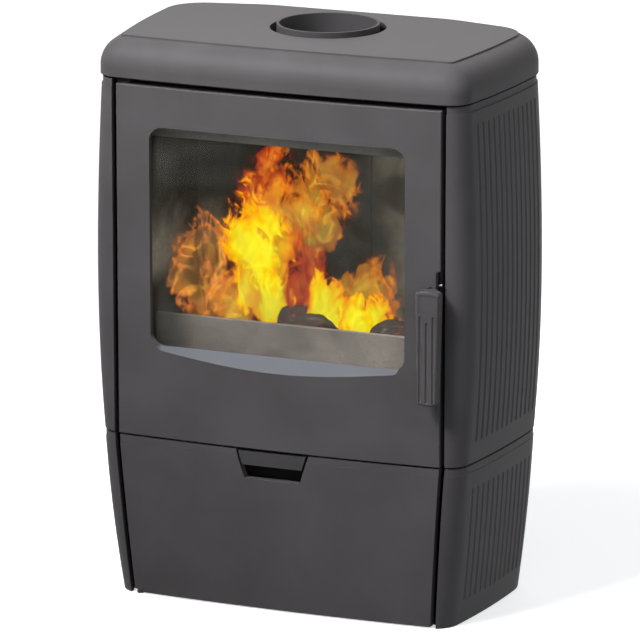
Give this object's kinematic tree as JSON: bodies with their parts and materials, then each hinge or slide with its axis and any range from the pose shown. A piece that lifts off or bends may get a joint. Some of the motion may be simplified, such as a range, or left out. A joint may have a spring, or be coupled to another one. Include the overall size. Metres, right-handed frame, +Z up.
{
  "type": "cast iron stove",
  "caption": "Cast iron wood stove with fluted barrel sides, a hinged glass fire door with a lift latch, a hinged ash door, an air slide and a top flue collar.",
  "frame": {"origin": "on the floor under the middle of the stove's bounding box", "axes": "+Z up, +X to the right seen from the front, the doors face -Y"},
  "size_m": [0.5396, 0.325, 0.7275],
  "materials": {
    "grey_iron": "matt grey heat paint on fine cast texture",
    "inner_iron": "dark matt casting",
    "collar": "matt grey",
    "steel": "plain dulled steel",
    "sheet": "matt grey paint",
    "glass": "clear heat-proof glass",
    "seal": "woven glass rope",
    "firebrick": "pale dry lining board"
  },
  "bodies": {
    "stove_body": {"air_deflector": "inner_iron", "ash_frame": "inner_iron", "ash_pan": "sheet", "baffle_plate": "firebrick", "base_plate": "inner_iron", "collar_bolt_front_left": "steel", "collar_bolt_front_right": "steel", "collar_bolt_rear_left": "steel", "collar_bolt_rear_right": "steel", "crown_plate": "inner_iron", "flue_collar": "collar", "front_frame": "inner_iron", "grate": "inner_iron", "hearth_plate": "inner_iron", "hinge_strap": "steel", "latch_keeper": "steel", "left_base_panel": "grey_iron", "left_firebrick": "firebrick", "left_pan_runner": "steel", "left_rear_firebrick": "firebrick", "left_side_panel": "grey_iron", "left_tie_rod": "steel", "log_guard": "firebrick", "lower_hinge_lug": "inner_iron", "rear_base_panel": "grey_iron", "rear_panel": "inner_iron", "right_base_panel": "grey_iron", "right_firebrick": "firebrick", "right_pan_runner": "steel", "right_rear_firebrick": "firebrick", "right_side_panel": "grey_iron", "right_tie_rod": "steel", "top_plate": "grey_iron", "upper_hinge_lug": "inner_iron"},
    "fire_door_leaf": {"fire_door": "grey_iron", "door_pin_upper": "steel", "door_pin_lower": "steel", "glass_gasket": "seal", "door_glass": "glass", "door_rope_seal": "seal", "handle_cheek_left": "grey_iron", "handle_cheek_right": "grey_iron", "latch_stop_pin": "steel", "glass_clip_lower_left": "steel", "glass_clip_lower_right": "steel", "glass_clip_upper_left": "steel", "glass_clip_upper_right": "steel", "glass_screw_lower_left": "steel", "glass_screw_lower_right": "steel", "glass_screw_upper_left": "steel", "glass_screw_upper_right": "steel"},
    "handle_lever": {"door_handle": "grey_iron", "handle_pivot_pin": "steel", "latch_hook": "steel"},
    "ash_door_leaf": {"ash_door": "grey_iron", "ash_pin_upper": "steel", "ash_pin_lower": "steel"},
    "air_slide": {"air_slide_tab": "sheet", "air_slide_stem": "sheet", "air_slide_shutter": "sheet"}
  },
  "joints": [
    {"name": "fire_door_hinge", "type": "hinge", "parent": "stove_body", "child": "fire_door_leaf", "pos_m": [-0.2088, -0.124, 0.44], "axis": [0, 0, -1], "range_deg": [0, 95]},
    {"name": "handle_lift", "type": "hinge", "parent": "fire_door_leaf", "child": "handle_lever", "pos_m": [0.2105, -0.1425, 0.437], "axis": [-1, 0, 0], "range_deg": [0, 40]},
    {"name": "ash_door_hinge", "type": "hinge", "parent": "stove_body", "child": "ash_door_leaf", "pos_m": [-0.196, -0.1185, 0.1], "axis": [0, 0, -1], "range_deg": [0, 90]},
    {"name": "air_slide_pull", "type": "slide", "parent": "stove_body", "child": "air_slide", "axis": [0, -1, 0], "range_m": [0, 0.012]}
  ]
}
